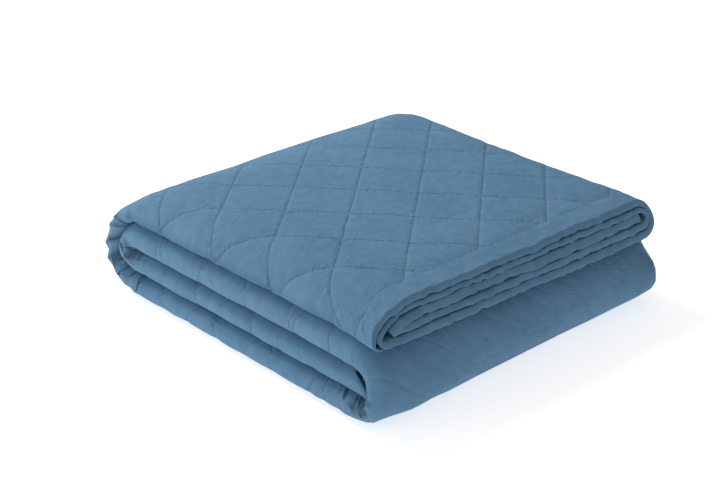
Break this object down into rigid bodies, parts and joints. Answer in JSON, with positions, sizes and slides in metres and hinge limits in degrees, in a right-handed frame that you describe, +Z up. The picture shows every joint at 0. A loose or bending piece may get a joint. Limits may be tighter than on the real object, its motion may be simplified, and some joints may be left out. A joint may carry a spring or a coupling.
{
  "type": "blanket",
  "caption": "Light summer blanket quilted in diamonds, folded in from its sides and rolled over itself into a low stack with rounded folds; lies flat",
  "frame": {"origin": "centre of the folded stack's bounding box in X and Y, on the level surface that it lies on", "axes": "+Z up; +X along the folded strip, towards the side where its free end lies on top; +Y across the strip, towards the side where the outer cloth folds back in"},
  "size_m": [0.412, 0.383, 0.1083],
  "materials": {
    "blue_cotton": "soft matte cloth, mid blue"
  },
  "bodies": {
    "root": {"quilted_blanket": "blue_cotton"}
  },
  "joints": []
}
